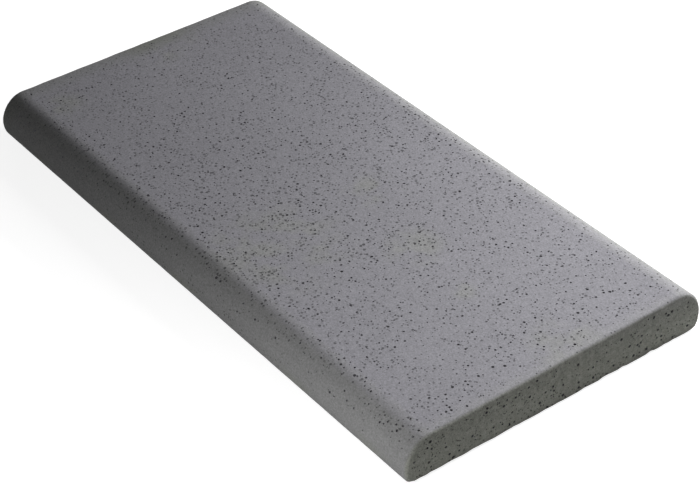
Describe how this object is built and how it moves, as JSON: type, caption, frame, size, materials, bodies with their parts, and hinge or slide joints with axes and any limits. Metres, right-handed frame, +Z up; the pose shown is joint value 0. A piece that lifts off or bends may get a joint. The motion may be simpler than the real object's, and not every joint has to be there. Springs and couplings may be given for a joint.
{
  "type": "pool coping stone",
  "caption": "Rectangular cast concrete coping slab with a rounded nose along both long sides and square ends, laid as the edge of a pool.",
  "frame": {"origin": "centre of the bedding face, at the bottom of the stone", "axes": "+X along the length, +Y across the width from nose to nose, +Z up out of the walking face"},
  "size_m": [0.6, 0.3, 0.04],
  "materials": {
    "cast_concrete": "fine cast concrete, matt, with many small dark air pores"
  },
  "bodies": {
    "root": {"coping_stone": "cast_concrete"}
  },
  "joints": []
}
